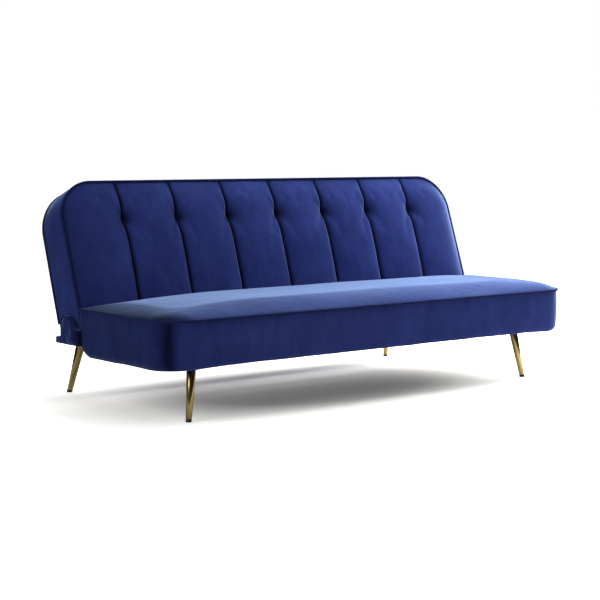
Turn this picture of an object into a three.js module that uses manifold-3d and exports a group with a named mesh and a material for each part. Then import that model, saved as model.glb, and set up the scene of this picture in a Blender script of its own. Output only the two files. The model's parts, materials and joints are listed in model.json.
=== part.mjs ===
// Click-clack sofa bed: a velvet bench seat on a timber chassis with four splayed metal legs, and a
// channelled backrest that turns on two ratchet hinges from upright to flat.
// Millimetres, +X to the right seen from the front, +Y to the rear, +Z up.

import * as THREE from "three";
import { mergeVertices } from "three/addons/utils/BufferGeometryUtils.js";
import Module from "manifold-3d";

const wasm = await Module();
wasm.setup();

// ---------------------------------------------------------------- driving dimensions

const GAP = 0.5; // clearance between fixed neighbours
const SIDES = { left: -1, right: 1 };

// Seat: the front face is at y = 0 until the whole object is centred at the end.
const SEAT_HALF = 890;
const SEAT_DEPTH = 480;
const SEAT_BOTTOM = 182;
const WELT_HEIGHT = 324;
const CROWN = 28; // height of the padded top above the welt
const CROWN_RUN = 34; // how far in from the edge the crown rolls over
const FRONT_CORNER = 110;
const REAR_CORNER = 36;
const LOWER_REAR_ROUND = 40;
const SKIN = 6; // cover and wadding
const WELT_RADIUS = 4.5;
const WELT_OUTSET = 2; // the welt's centre stands this far outside the seat

// Chassis
const RAIL_INSET = 8;
const RAIL_THICK = 41;
const RAIL_BOTTOM = 207.5;
const RAIL_TOP = 250;
const RAIL_SPLIT = 779; // where the front and rear rails meet the side rails
const ARM_CENTRE = 719;
const ARM_WIDTH = 90;
const ARM_BOTTOM = 184;
const ARM_TOP = 195.5;
const SPRING_WIRE = 1.8;
const SPRING_LEVEL = 253.6;
const SPRING_PLACES = [-560, -190, 190, 560];
const FOAM_BOTTOM = 256;
const REST_RAIL = { half: 796, front: 737, rear: 829, bottom: 178, top: 202 };

// Legs: foot centres on the floor, and the sideways and fore-and-aft slope of each axis.
const LEGS = {
  front: { footX: 749, footY: 96, slopeX: 0.166, slopeY: 0.133, plateTop: ARM_BOTTOM - GAP },
  rear: { footX: 738, footY: 838, slopeX: 0.166, slopeY: -0.205, plateTop: REST_RAIL.bottom - GAP },
};
const PLATE_SIZE = 66;
const PLATE_THICK = 3;
const LEG_TOP_RADIUS = 17;
const LEG_FOOT_RADIUS = 9.5;
const LEG_WALL = 1.6;
const CAP_HEIGHT = 8;

// Backrest, in its own frame: origin on the hinge axis, local +Y to its rear, local +Z up its length.
const HINGE_Y = 570;
const HINGE_Z = 274;
const LEAN = THREE.MathUtils.degToRad(17.5);
const BACK_HALF = 876;
const BACK_TOP = 463;
const BACK_CORNER = 130;
const BACK_REAR = 76;
const BACK_FRONT_CURVE = [
  [-72, -42],
  [-79, 20],
  [-83, 110],
  [-84, 200],
  [-81, 300],
  [-72, 390],
  [-62, 435],
  [-44, BACK_TOP],
];
const BACK_EDGE = -56; // the padded front rolls back to here at both sides
const BACK_EDGE_ROLL = 90;
const BACK_REAR_TOP = 452;
const BACK_REAR_FOOT = 4; // height of the rear of the underside
const FRAME_FRONT = 20; // timber frame of the back, from here to its rear face
const FRAME_REAR = 68;
const FRAME_INSET = 11.5;
const FRAME_WIDTH = 38;
const CHANNELS = 8;
const CHANNEL_WIDTH = 217;
const BUTTON_LEVEL = 330;
const BUTTON_RADIUS = 13;
const BUTTON_SINK = 15; // depth of the tuft that each button is drawn into
const TUFT_RADIUS = 24;

// Hinges, placed outwards from the centre line
const BACK_PLATE = { inner: 865, outer: 868 };
const BASE_PLATE = { inner: 879.5, outer: 883 };
const RATCHET = { inner: 886, outer: 890, radius: 19 };
const COVER_BLOCK = {
  inner: 885,
  outer: 912,
  cavity: 900,
  halfWidth: 27,
  bottom: 208,
  skirtFront: 486, // a low skirt reaches forward to the seat
  skirtTop: 262,
};
const PIN_RADIUS = 6;
const PAWL_PIVOT = { y: -18, z: -25 }; // from the hinge axis
const PAWL_HUB = 4;

// ---------------------------------------------------------------- materials

const paint = (color, roughness, metalness = 0) =>
  new THREE.MeshStandardMaterial({ color, roughness, metalness });
const velvet = paint(0x1f2f8c, 0.85);
const welting = paint(0x151f5c, 0.8);
const timber = paint(0xc9a26b, 0.7);
const brass = paint(0xb08d3c, 0.25, 1);
const steel = paint(0x55585c, 0.4, 1);
const springSteel = paint(0x8f9498, 0.35, 1);
const blackPlastic = paint(0x111111, 0.6);
const foam = paint(0xe8dfb0, 0.95);
const nonWoven = paint(0x141416, 0.95);
const hardboard = paint(0x8a6238, 0.75);

// ---------------------------------------------------------------- solids

function solidOf(geometry) {
  const bare = geometry.index ? geometry.toNonIndexed() : geometry.clone();
  bare.deleteAttribute("normal");
  bare.deleteAttribute("uv");
  const merged = mergeVertices(bare, 1e-3);
  return new wasm.Manifold(
    new wasm.Mesh({
      numProp: 3,
      vertProperties: new Float32Array(merged.attributes.position.array),
      triVerts: new Uint32Array(merged.index.array),
    }),
  );
}

function geometryOf(solid) {
  const mesh = solid.getMesh();
  const geometry = new THREE.BufferGeometry();
  geometry.setAttribute("position", new THREE.BufferAttribute(mesh.vertProperties, 3));
  geometry.setIndex(new THREE.BufferAttribute(mesh.triVerts, 1));
  geometry.computeVertexNormals();
  return geometry;
}

function extruded(shape, depth, curveSegments = 6) {
  return new THREE.ExtrudeGeometry(shape, { depth, bevelEnabled: false, curveSegments });
}

function alongZ(shape, low, high) {
  return solidOf(extruded(shape, high - low).translate(0, 0, low));
}

// A shape drawn in (y, z) and given its thickness from x = low to x = high.
function alongX(shape, low, high) {
  const turn = new THREE.Matrix4().makeBasis(
    new THREE.Vector3(0, 1, 0),
    new THREE.Vector3(0, 0, 1),
    new THREE.Vector3(1, 0, 0),
  );
  return solidOf(extruded(shape, high - low).applyMatrix4(turn).translate(low, 0, 0));
}

// A shape drawn in (x, z) and given its thickness from y = low to y = high.
function alongY(shape, low, high) {
  const turn = new THREE.Matrix4().makeBasis(
    new THREE.Vector3(1, 0, 0),
    new THREE.Vector3(0, 0, 1),
    new THREE.Vector3(0, -1, 0),
  );
  return solidOf(extruded(shape, high - low).applyMatrix4(turn).translate(0, high, 0));
}

// The same, between two distances from the centre line on the given side.
function outwards(shape, side, inner, outer) {
  const ends = [side * inner, side * outer].sort((a, b) => a - b);
  return alongX(shape, ends[0], ends[1]);
}

function box(x, y, z) {
  const size = [x, y, z].map(([low, high]) => high - low);
  const middle = [x, y, z].map(([low, high]) => (high + low) / 2);
  return solidOf(new THREE.BoxGeometry(...size).translate(...middle));
}

function polygon(points) {
  return new THREE.Shape(points.map(([a, b]) => new THREE.Vector2(a, b)));
}

function circle(y, z, radius) {
  const shape = new THREE.Shape();
  shape.absarc(y, z, radius, 0, 2 * Math.PI);
  return shape;
}

// A round bar along X on the given side, with the circle's centre at (y, z).
function bar(side, inner, outer, y, z, radius, segments = 16) {
  const length = outer - inner;
  const geometry = new THREE.CylinderGeometry(radius, radius, length, segments);
  geometry.rotateZ(Math.PI / 2).translate((side * (inner + outer)) / 2, y, z);
  return solidOf(geometry);
}

// A round cord of the welt's section along an open path.
function cordAlong(points, radius, steps) {
  const section = new THREE.Shape();
  section.absarc(0, 0, radius, 0, 2 * Math.PI);
  const extrudePath = new THREE.CatmullRomCurve3(points);
  return solidOf(new THREE.ExtrudeGeometry(section, { steps, extrudePath, curveSegments: 4 }));
}

const root = new THREE.Group();
root.name = "sofa_bed";

function add(group, name, solid, material) {
  const mesh = new THREE.Mesh(geometryOf(solid), material);
  mesh.name = name;
  group.add(mesh);
  return mesh;
}

// ---------------------------------------------------------------- seat

function seatPlan(inset) {
  const half = SEAT_HALF - inset;
  const front = inset;
  const rear = SEAT_DEPTH - inset;
  const frontRound = Math.max(FRONT_CORNER - inset, 1);
  const rearRound = Math.max(REAR_CORNER - inset, 1);
  const plan = new THREE.Shape();
  plan.moveTo(-half + frontRound, front);
  plan.absarc(half - frontRound, front + frontRound, frontRound, -Math.PI / 2, 0);
  plan.absarc(half - rearRound, rear - rearRound, rearRound, 0, Math.PI / 2);
  plan.absarc(-half + rearRound, rear - rearRound, rearRound, Math.PI / 2, Math.PI);
  plan.absarc(-half + frontRound, front + frontRound, frontRound, Math.PI, 1.5 * Math.PI);
  return plan;
}

// The side view that rounds off the lower rear edge.
function seatSideView(inset) {
  const centreY = SEAT_DEPTH - LOWER_REAR_ROUND;
  const centreZ = SEAT_BOTTOM + LOWER_REAR_ROUND;
  const view = new THREE.Shape();
  view.moveTo(-50, 0);
  view.lineTo(centreY, 0);
  view.absarc(centreY, centreZ, LOWER_REAR_ROUND - inset, -Math.PI / 2, 0);
  view.lineTo(SEAT_DEPTH - inset, 500);
  view.lineTo(-50, 500);
  return view;
}

// The padded seat block, `inset` inside its outer surface, from `floor` upwards.
function seatBlock(inset, floor) {
  const crowned = new THREE.ExtrudeGeometry(seatPlan(inset + CROWN_RUN), {
    depth: WELT_HEIGHT - floor + 10,
    bevelThickness: CROWN - inset,
    bevelSize: CROWN_RUN,
    bevelSegments: 4,
    curveSegments: 6,
  }).translate(0, 0, floor - 10);
  return solidOf(crowned)
    .intersect(alongX(seatSideView(inset), -1000, 1000))
    .intersect(box([-1000, 1000], [-50, 600], [floor, 500]));
}

function ringOf(outerInset, innerInset, low, high) {
  return alongZ(seatPlan(outerInset), low, high).subtract(
    alongZ(seatPlan(innerInset), low - 1, high + 1),
  );
}

function armBox(side, margin) {
  const inner = ARM_CENTRE - ARM_WIDTH / 2 - margin;
  const outer = ARM_CENTRE + ARM_WIDTH / 2 + margin;
  const across = [side * inner, side * outer].sort((a, b) => a - b);
  const ends = [RAIL_INSET + RAIL_THICK + GAP - margin, REST_RAIL.front - GAP + margin];
  return box(across, ends, [ARM_BOTTOM - margin, ARM_TOP + margin]);
}

function basePlateOutline() {
  return polygon([
    [372, 212],
    [470, 212],
    [548, 206],
    [590, 212],
    [595, 240],
    [HINGE_Y + 22, HINGE_Z + 10],
    [HINGE_Y + 8, HINGE_Z + 22],
    [HINGE_Y - 12, HINGE_Z + 22],
    [HINGE_Y - 24, HINGE_Z + 6],
    [534, 238],
    [372, 240],
  ]);
}

// The welt runs round the seat in a level plane: a flat ring whose edges are rolled over.
function seatWelt(radius) {
  const roll = radius * 0.7;
  const core = radius - roll;
  const ring = seatPlan(-WELT_OUTSET - core);
  ring.holes.push(seatPlan(-WELT_OUTSET + core));
  const geometry = new THREE.ExtrudeGeometry(ring, {
    depth: 2 * core,
    bevelThickness: roll,
    bevelSize: roll,
    bevelSegments: 2,
    curveSegments: 6,
  });
  return solidOf(geometry.translate(0, 0, WELT_HEIGHT - core));
}

function buildSeat() {
  let cover = seatBlock(0, SEAT_BOTTOM).subtract(seatBlock(SKIN, SEAT_BOTTOM - 30));
  cover = cover.subtract(seatWelt(WELT_RADIUS + GAP));
  for (const side of Object.values(SIDES)) {
    cover = cover.subtract(armBox(side, GAP));
    const { inner, outer } = BASE_PLATE;
    cover = cover.subtract(outwards(basePlateOutline(), side, inner - GAP, outer + GAP));
  }
  add(root, "seat_cover", cover, velvet);
  add(root, "seat_welt", seatWelt(WELT_RADIUS), welting);

  const padding = seatBlock(SKIN + GAP, FOAM_BOTTOM);
  add(root, "seat_foam", padding, foam);

  let dust = alongZ(seatPlan(RAIL_INSET), SEAT_BOTTOM + 0.2, SEAT_BOTTOM + 1.4);
  dust = dust.intersect(box([-1000, 1000], [0, SEAT_DEPTH - LOWER_REAR_ROUND], [0, 300]));
  for (const side of Object.values(SIDES)) {
    dust = dust.subtract(platePad(LEGS.front, side, 1));
  }
  add(root, "seat_dust_cover", dust, nonWoven);

  for (const [index, x] of SPRING_PLACES.entries()) {
    add(root, `seat_spring_${index + 1}`, springWire(x), springSteel);
  }
}

// A zigzag spring that runs from the front rail to the rear rail.
function springWire(x) {
  const start = RAIL_INSET + 12;
  const end = SEAT_DEPTH - RAIL_INSET - 12;
  const bends = 18;
  const points = [];
  for (let bend = 0; bend <= bends; bend += 1) {
    const y = start + ((end - start) * bend) / bends;
    const swing = bend === 0 || bend === bends ? 0 : 24 * (bend % 2 ? 1 : -1);
    points.push(new THREE.Vector3(x + swing, y, SPRING_LEVEL));
  }
  return cordAlong(points, SPRING_WIRE, 72);
}

// ---------------------------------------------------------------- chassis

function buildChassis() {
  const ring = ringOf(RAIL_INSET, RAIL_INSET + RAIL_THICK, RAIL_BOTTOM, RAIL_TOP).intersect(
    alongX(seatSideView(SKIN + 1), -1000, 1000),
  );
  const middle = [-RAIL_SPLIT, RAIL_SPLIT];
  const level = [RAIL_BOTTOM - 1, RAIL_TOP + 1];
  add(root, "seat_front_rail", ring.intersect(box(middle, [-1, 200], level)), timber);
  add(root, "seat_rear_rail", ring.intersect(box(middle, [200, 600], level)), timber);
  const inside = [RAIL_INSET + RAIL_THICK + GAP, SEAT_DEPTH - RAIL_INSET - RAIL_THICK - GAP];
  add(root, "seat_centre_rail", box([-22, 22], inside, [RAIL_BOTTOM, RAIL_TOP - 8]), timber);

  for (const [name, side] of Object.entries(SIDES)) {
    const beyond = [side * (RAIL_SPLIT + GAP), side * 1000].sort((a, b) => a - b);
    const slot = outwards(basePlateOutline(), side, BASE_PLATE.inner - GAP, BASE_PLATE.outer + GAP);
    const sideRail = ring.intersect(box(beyond, [-1, 600], level)).subtract(slot);
    add(root, `seat_side_rail_${name}`, sideRail, timber);
    add(root, `chassis_arm_${name}`, armBox(side, 0), timber);
  }
  const { half, front, rear, bottom, top } = REST_RAIL;
  const rest = box([-half, half], [front, rear], [bottom, top]);
  add(root, "rear_rest_rail", rest, velvet);
}

// ---------------------------------------------------------------- legs

// Where a leg's axis is at a height above the floor.
function legPoint(leg, side, height) {
  return new THREE.Vector3(
    side * (leg.footX - leg.slopeX * height),
    leg.footY + leg.slopeY * height,
    height,
  );
}

function platePad(leg, side, margin) {
  const centre = legPoint(leg, side, leg.plateTop);
  const half = PLATE_SIZE / 2 + margin;
  return box(
    [centre.x - half, centre.x + half],
    [centre.y - half, centre.y + half],
    [leg.plateTop - PLATE_THICK - margin, leg.plateTop + margin],
  );
}

// Turns a profile of (radius, height along the leg) about the leg's axis, with the foot at the floor.
function turnedOnLeg(leg, side, profile) {
  const lathe = new THREE.LatheGeometry(
    profile.map(([radius, height]) => new THREE.Vector2(radius, height)),
    48,
  );
  const foot = legPoint(leg, side, 0);
  const axis = legPoint(leg, side, 1).sub(foot).normalize();
  lathe.applyQuaternion(
    new THREE.Quaternion().setFromUnitVectors(new THREE.Vector3(0, 1, 0), axis),
  );
  return solidOf(lathe.translate(foot.x, foot.y, foot.z));
}

function buildLegs() {
  for (const [end, leg] of Object.entries(LEGS)) {
    for (const [name, side] of Object.entries(SIDES)) {
      const plateBottom = leg.plateTop - PLATE_THICK;
      const length = plateBottom + 20;
      const start = CAP_HEIGHT + 1;
      const tube = turnedOnLeg(leg, side, [
        [LEG_FOOT_RADIUS - LEG_WALL, start],
        [LEG_FOOT_RADIUS, start],
        [LEG_TOP_RADIUS, length],
        [LEG_TOP_RADIUS - LEG_WALL, length],
        [LEG_FOOT_RADIUS - LEG_WALL, start],
      ]).intersect(box([-1000, 1000], [-100, 1000], [0, plateBottom - 0.3]));
      add(root, `leg_${end}_${name}`, tube, brass);

      const plug = LEG_FOOT_RADIUS - LEG_WALL - 0.4;
      const cap = turnedOnLeg(leg, side, [
        [0, -6],
        [LEG_FOOT_RADIUS, -6],
        [LEG_FOOT_RADIUS, start - 0.4],
        [plug, start - 0.4],
        [plug, start + 14],
        [0, start + 14],
      ]).intersect(box([-1000, 1000], [-100, 1000], [0, 100]));
      add(root, `foot_cap_${end}_${name}`, cap, blackPlastic);
      add(root, `leg_plate_${end}_${name}`, platePad(leg, side, 0), steel);
    }
  }
}

// ---------------------------------------------------------------- backrest

const backrest = new THREE.Group();
backrest.name = "backrest";
backrest.position.set(0, HINGE_Y, HINGE_Z);
backrest.rotation.x = -LEAN;
root.add(backrest);

// How far forward the padded front stands at a height up the back.
function frontAt(height) {
  const above = BACK_FRONT_CURVE.findIndex(([, level]) => level >= height);
  const next = BACK_FRONT_CURVE[Math.max(above, 1)];
  const last = BACK_FRONT_CURVE[Math.max(above, 1) - 1];
  const share = (height - last[1]) / (next[1] - last[1]);
  return last[0] + share * (next[0] - last[0]);
}

// The front view: square at the foot and rounded at the two top corners.
function backFrontView(inset) {
  const half = BACK_HALF - inset;
  const top = BACK_TOP - inset;
  const round = BACK_CORNER - inset;
  const view = new THREE.Shape();
  view.moveTo(-half, -200);
  view.lineTo(half, -200);
  view.absarc(half - round, top - round, round, 0, Math.PI / 2);
  view.absarc(-half + round, top - round, round, Math.PI / 2, Math.PI);
  return view;
}

// The side view, from the crowned front to the flat rear, `inset` inside the outer surface.
function backSideView(inset, rear = BACK_REAR - inset) {
  const curve = BACK_FRONT_CURVE.map(([y, z]) => [y + inset, Math.min(z, BACK_TOP - inset)]);
  curve[0][1] += inset * 1.2;
  return polygon([
    ...curve,
    [rear, BACK_REAR_TOP - inset],
    [rear, BACK_REAR_FOOT + inset * 1.2],
  ]);
}

// The view from above: both ends of the padded front roll back to the edge.
function backPlan(inset) {
  const half = BACK_HALF - inset;
  const side = [
    [half, 200],
    [half, BACK_EDGE + inset],
    [half - BACK_EDGE_ROLL * 0.3, BACK_EDGE - 14 + inset],
    [half - BACK_EDGE_ROLL, -90 + inset],
  ];
  const otherSide = side.map(([x, y]) => [-x, y]).reverse();
  return polygon([...side, ...otherSide]);
}

function backBlock(inset, rear) {
  return alongX(backSideView(inset, rear), -1000, 1000)
    .intersect(alongY(backFrontView(inset), -120, 120))
    .intersect(alongZ(backPlan(inset), -200, 600));
}

function channelSeams() {
  const seams = [];
  for (let index = 1; index < CHANNELS; index += 1) {
    seams.push((index - CHANNELS / 2) * CHANNEL_WIDTH);
  }
  return seams;
}

// The cone of padding that a button draws in, grown by a margin on all sides.
function tuft(x, margin) {
  const front = frontAt(BUTTON_LEVEL);
  const depth = BUTTON_SINK + 12;
  const cone = new THREE.CylinderGeometry(BUTTON_RADIUS + 1, TUFT_RADIUS + 8, depth, 12);
  const grow = 1 + margin / BUTTON_RADIUS;
  cone.scale(grow, 1, grow).translate(0, margin, 0);
  return solidOf(cone.translate(x, front + BUTTON_SINK - depth / 2, BUTTON_LEVEL));
}

function weltPath(inset, foot, frontOf) {
  const half = BACK_HALF - inset;
  const top = BACK_TOP - inset;
  const round = BACK_CORNER - inset;
  const outline = [];
  for (let step = 0; step <= 6; step += 1) {
    outline.push([-half, foot + ((top - round - foot) * step) / 6]);
  }
  for (let step = 1; step <= 8; step += 1) {
    const angle = Math.PI - (Math.PI / 2) * (step / 8);
    outline.push([
      -half + round + round * Math.cos(angle),
      top - round + round * Math.sin(angle),
    ]);
  }
  const mirrored = outline.map(([x, z]) => [-x, z]).reverse();
  return [...outline, [0, top], ...mirrored].map(
    ([x, z]) => new THREE.Vector3(x, frontOf(z), z),
  );
}

const edgeAt = (height) => BACK_EDGE + 0.03 * height;
const frontWelt = (radius) => cordAlong(weltPath(0, -38, edgeAt), radius, 66);
const rearWelt = (radius) => cordAlong(weltPath(10, 16, () => BACK_REAR), radius, 66);

function buildBackrest() {
  const seams = channelSeams();
  const opening = alongY(backFrontView(22), 40, 120).intersect(
    alongX(polygon([[40, 20], [120, 20], [120, 428], [40, 428]]), -1000, 1000),
  );
  let hollow = backBlock(SKIN, BACK_REAR - SKIN);
  let shell = backBlock(0, BACK_REAR);
  let padding = backBlock(SKIN + GAP, FRAME_FRONT - 5.5);
  for (const x of seams) {
    hollow = hollow.subtract(tuft(x, SKIN));
    shell = shell.subtract(tuft(x, 0));
    padding = padding.subtract(tuft(x, SKIN + GAP));
  }
  let cover = shell.subtract(hollow).subtract(opening);
  cover = cover.subtract(frontWelt(WELT_RADIUS + GAP)).subtract(rearWelt(WELT_RADIUS + GAP));
  for (const side of Object.values(SIDES)) {
    cover = cover.subtract(bar(side, 860, 900, 0, 0, PIN_RADIUS + 1));
    padding = padding.subtract(bar(side, 850, 900, 0, 0, PIN_RADIUS + 6));
    const clearance = box(
      [side * (BACK_PLATE.inner - 1), side * 900].sort((a, b) => a - b),
      [-60, 60],
      [-60, 200],
    );
    padding = padding.subtract(clearance);
  }
  add(backrest, "back_cover", cover, velvet);
  add(backrest, "back_welt_front", frontWelt(WELT_RADIUS), welting);
  add(backrest, "back_welt_rear", rearWelt(WELT_RADIUS), welting);
  add(backrest, "back_foam", padding, foam);

  const lining = alongY(backFrontView(22.5), BACK_REAR - 3.4, BACK_REAR - 1).intersect(
    alongX(polygon([[40, 20.5], [120, 20.5], [120, 427.5], [40, 427.5]]), -1000, 1000),
  );
  add(backrest, "back_lining", lining, velvet);

  buildBackFrame();
  for (const [index, x] of seams.entries()) {
    add(backrest, `button_${index + 1}`, button(x), velvet);
  }
}

// The timber frame behind the padding, with its board, inside the cover.
function buildBackFrame() {
  const room = backBlock(SKIN + 1, FRAME_REAR).intersect(
    box([-1000, 1000], [FRAME_FRONT, FRAME_REAR], [-100, 600]),
  );
  const inner = FRAME_INSET + FRAME_WIDTH;
  const ring = alongY(backFrontView(FRAME_INSET), FRAME_FRONT, FRAME_REAR).intersect(room);
  const window = alongY(backFrontView(inner), 0, 100).intersect(
    box([-1000, 1000], [0, 100], [42, BACK_TOP - inner]),
  );
  const frame = ring.subtract(window);
  const depth = [0, 100];
  const stileTop = BACK_TOP - BACK_CORNER;
  const across = [-BACK_HALF + inner, BACK_HALF - inner];
  const below = box(across, depth, [-100, 42]);
  add(backrest, "back_bottom_rail", frame.intersect(below), timber);
  const above = box([-1000, 1000], depth, [stileTop + GAP, 600]);
  add(backrest, "back_top_rail", frame.intersect(above), timber);
  for (const [name, side] of Object.entries(SIDES)) {
    const beyond = [side * (BACK_HALF - inner + GAP), side * 1000].sort((a, b) => a - b);
    const stile = frame.intersect(box(beyond, depth, [-100, stileTop]));
    const eye = bar(side, 800, 900, 0, 0, PIN_RADIUS + 3);
    add(backrest, `back_stile_${name}`, stile.subtract(eye), timber);
  }
  const upright = box(
    [-20, 20],
    [FRAME_FRONT + 4, FRAME_REAR],
    [42 + GAP, BACK_TOP - inner - GAP],
  );
  add(backrest, "back_centre_upright", upright, timber);
  const board = alongY(backFrontView(FRAME_INSET + 6), FRAME_FRONT - 4.5, FRAME_FRONT - GAP).intersect(
    box([-1000, 1000], [0, 100], [4, 440]),
  );
  add(backrest, "back_board", board, hardboard);
}

// A covered button: a domed disc that sits in the bottom of its tuft.
function button(x) {
  const dome = new THREE.LatheGeometry(
    [
      [0, 0],
      [BUTTON_RADIUS - 1, 0],
      [BUTTON_RADIUS, 2.5],
      [BUTTON_RADIUS - 2.5, 5.5],
      [BUTTON_RADIUS - 7, 7.5],
      [0, 8.2],
    ].map(([radius, height]) => new THREE.Vector2(radius, height)),
    16,
  );
  const seatOfButton = frontAt(BUTTON_LEVEL) + BUTTON_SINK - GAP;
  return solidOf(dome.rotateX(Math.PI).translate(x, seatOfButton, BUTTON_LEVEL));
}

// ---------------------------------------------------------------- hinges

// The part of the ratchet that the pawl drops into when the back is reclined by this angle.
function notch(side, from, to) {
  const angles = [from, (from + to) / 2, to].map(THREE.MathUtils.degToRad);
  const points = [
    ...angles.map((a) => [15 * Math.sin(a), -15 * Math.cos(a)]),
    ...angles.reverse().map((a) => [24 * Math.sin(a), -24 * Math.cos(a)]),
  ];
  return outwards(polygon(points), side, RATCHET.inner - 1, RATCHET.outer + 1);
}

// The ratchet is drawn as it stands with the back upright, so it undoes the lean of its group.
function buildRatchet(name, side) {
  let disc = bar(side, RATCHET.inner, RATCHET.outer, 0, 0, RATCHET.radius, 32);
  disc = disc.subtract(notch(side, -17, 19)); // upright, and the forward travel that frees it
  disc = disc.subtract(notch(side, 22, 49)); // lounging
  disc = disc.subtract(notch(side, 64, 91)); // flat
  disc = disc.subtract(bar(side, 880, 900, 0, 0, PIN_RADIUS + 0.6));
  add(backrest, `ratchet_${name}`, disc, steel).rotation.x = LEAN;
}

function pawlOutline() {
  const { y, z } = PAWL_PIVOT;
  return polygon([
    [y - 5, z - 5],
    [y + 6, z - 6],
    [y + 23, z - 3],
    [y + 23, z + 4.6],
    [y + 17, z + 4.6],
    [y + 14, z + 1],
    [y + 4, z + 5],
    [y - 5, z + 5],
  ]);
}

function buildHinges() {
  for (const [name, side] of Object.entries(SIDES)) {
    // Leaf on the back's stile, under its cover
    let leaf = outwards(
      polygon([
        [-18, -16],
        [26, 5],
        [52, 17.5],
        [52, 150],
        [24, 150],
        [14, 40],
        [-18, 22],
      ]),
      side,
      BACK_PLATE.inner,
      BACK_PLATE.outer,
    );
    leaf = leaf.subtract(bar(side, 860, 880, 0, 0, PIN_RADIUS + 0.6));
    add(backrest, `hinge_leaf_${name}`, leaf, steel);

    // Pin, with its head inside the stile and its riveted end outside the ratchet
    const pin = bar(side, 860, 894, 0, 0, PIN_RADIUS)
      .add(bar(side, 860, 864.5, 0, 0, PIN_RADIUS + 2.5))
      .add(bar(side, 890.5, 894, 0, 0, PIN_RADIUS + 2));
    add(backrest, `hinge_pin_${name}`, pin, steel);
    buildRatchet(name, side);

    // Plate that is bolted inside the seat's side rail and carries the pin
    let plate = outwards(basePlateOutline(), side, BASE_PLATE.inner, BASE_PLATE.outer);
    plate = plate.subtract(bar(side, 870, 890, HINGE_Y, HINGE_Z, PIN_RADIUS + 0.6));
    const studY = HINGE_Y + PAWL_PIVOT.y;
    const studZ = HINGE_Z + PAWL_PIVOT.z;
    plate = plate.add(bar(side, BASE_PLATE.outer - 1, 898, studY, studZ, 2.2, 12));
    add(root, `hinge_plate_${name}`, plate, steel);

    // Pawl, turning on the plate's stud
    const pawl = new THREE.Group();
    pawl.position.set(0, HINGE_Y, HINGE_Z);
    root.add(pawl);
    let catchBar = outwards(pawlOutline(), side, RATCHET.inner, RATCHET.outer);
    catchBar = catchBar.add(
      bar(side, RATCHET.inner, 896.5, PAWL_PIVOT.y, PAWL_PIVOT.z, PAWL_HUB, 16),
    );
    catchBar = catchBar.subtract(bar(side, 880, 900, PAWL_PIVOT.y, PAWL_PIVOT.z, 2.6, 12));
    add(pawl, `pawl_${name}`, catchBar, steel);
    add(root, `pawl_spring_${name}`, pawlSpring(side, studY, studZ), springSteel);

    // Velvet-covered block that hides the ratchet
    const block = new THREE.Shape();
    const half = COVER_BLOCK.halfWidth;
    block.moveTo(COVER_BLOCK.skirtFront, COVER_BLOCK.bottom);
    block.lineTo(HINGE_Y + half - 6, COVER_BLOCK.bottom);
    block.absarc(HINGE_Y, HINGE_Z, half, 0, Math.PI);
    block.lineTo(HINGE_Y - half, COVER_BLOCK.skirtTop);
    block.lineTo(COVER_BLOCK.skirtFront, COVER_BLOCK.skirtTop);
    let casing = outwards(block, side, COVER_BLOCK.inner, COVER_BLOCK.outer);
    const wall = 3;
    const cavity = new THREE.Shape();
    cavity.moveTo(HINGE_Y - half + wall, COVER_BLOCK.bottom + wall);
    cavity.lineTo(HINGE_Y + half - 6 - wall, COVER_BLOCK.bottom + wall);
    cavity.absarc(HINGE_Y, HINGE_Z, half - wall, 0, Math.PI);
    casing = casing.subtract(outwards(cavity, side, COVER_BLOCK.inner - 2, COVER_BLOCK.cavity));
    add(root, `hinge_cover_${name}`, casing, velvet);
  }
}

// A small torsion spring round the pawl's hub.
function pawlSpring(side, y, z) {
  const turns = 2.5;
  const pointsPerTurn = 10;
  const points = [];
  for (let index = 0; index <= turns * pointsPerTurn; index += 1) {
    const angle = (index / pointsPerTurn) * 2 * Math.PI;
    const x = side * (891.6 + (index / (turns * pointsPerTurn)) * 4.2);
    points.push(new THREE.Vector3(x, y + 5.2 * Math.cos(angle), z + 5.2 * Math.sin(angle)));
  }
  return cordAlong(points, 0.6, 30);
}

// ---------------------------------------------------------------- assembly

buildSeat();
buildChassis();
buildLegs();
buildBackrest();
buildHinges();

// The origin is on the floor, under the middle of the whole object.
root.updateMatrixWorld(true);
const extent = new THREE.Box3().setFromObject(root, true);
root.position.y = -(extent.min.y + extent.max.y) / 2;

export default root;
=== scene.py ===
"""Looks for a click-clack sofa bed.

Velvet seat and channelled, buttoned back with corded seams, on splayed brass legs.
"""

import json
import math

import bpy
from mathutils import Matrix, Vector, noise


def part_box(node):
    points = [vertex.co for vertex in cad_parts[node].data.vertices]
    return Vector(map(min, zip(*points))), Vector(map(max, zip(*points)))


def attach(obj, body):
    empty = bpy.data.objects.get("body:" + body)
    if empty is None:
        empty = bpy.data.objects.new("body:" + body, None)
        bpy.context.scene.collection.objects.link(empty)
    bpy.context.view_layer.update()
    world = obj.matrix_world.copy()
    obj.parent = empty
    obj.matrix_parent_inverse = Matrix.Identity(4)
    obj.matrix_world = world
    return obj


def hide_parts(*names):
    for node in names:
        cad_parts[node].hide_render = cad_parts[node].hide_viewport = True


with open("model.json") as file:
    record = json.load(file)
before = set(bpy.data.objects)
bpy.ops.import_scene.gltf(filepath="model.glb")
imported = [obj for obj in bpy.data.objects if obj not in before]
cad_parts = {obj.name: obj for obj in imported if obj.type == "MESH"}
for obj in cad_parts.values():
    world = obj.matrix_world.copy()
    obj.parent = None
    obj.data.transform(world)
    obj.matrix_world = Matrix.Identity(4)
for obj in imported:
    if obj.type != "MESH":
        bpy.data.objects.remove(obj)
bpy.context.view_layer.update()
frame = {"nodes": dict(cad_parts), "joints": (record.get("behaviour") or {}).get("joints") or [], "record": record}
SIDES = {"left": -1, "right": 1}

# ------------------------------------------------------------------ sizes, in metres

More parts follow.
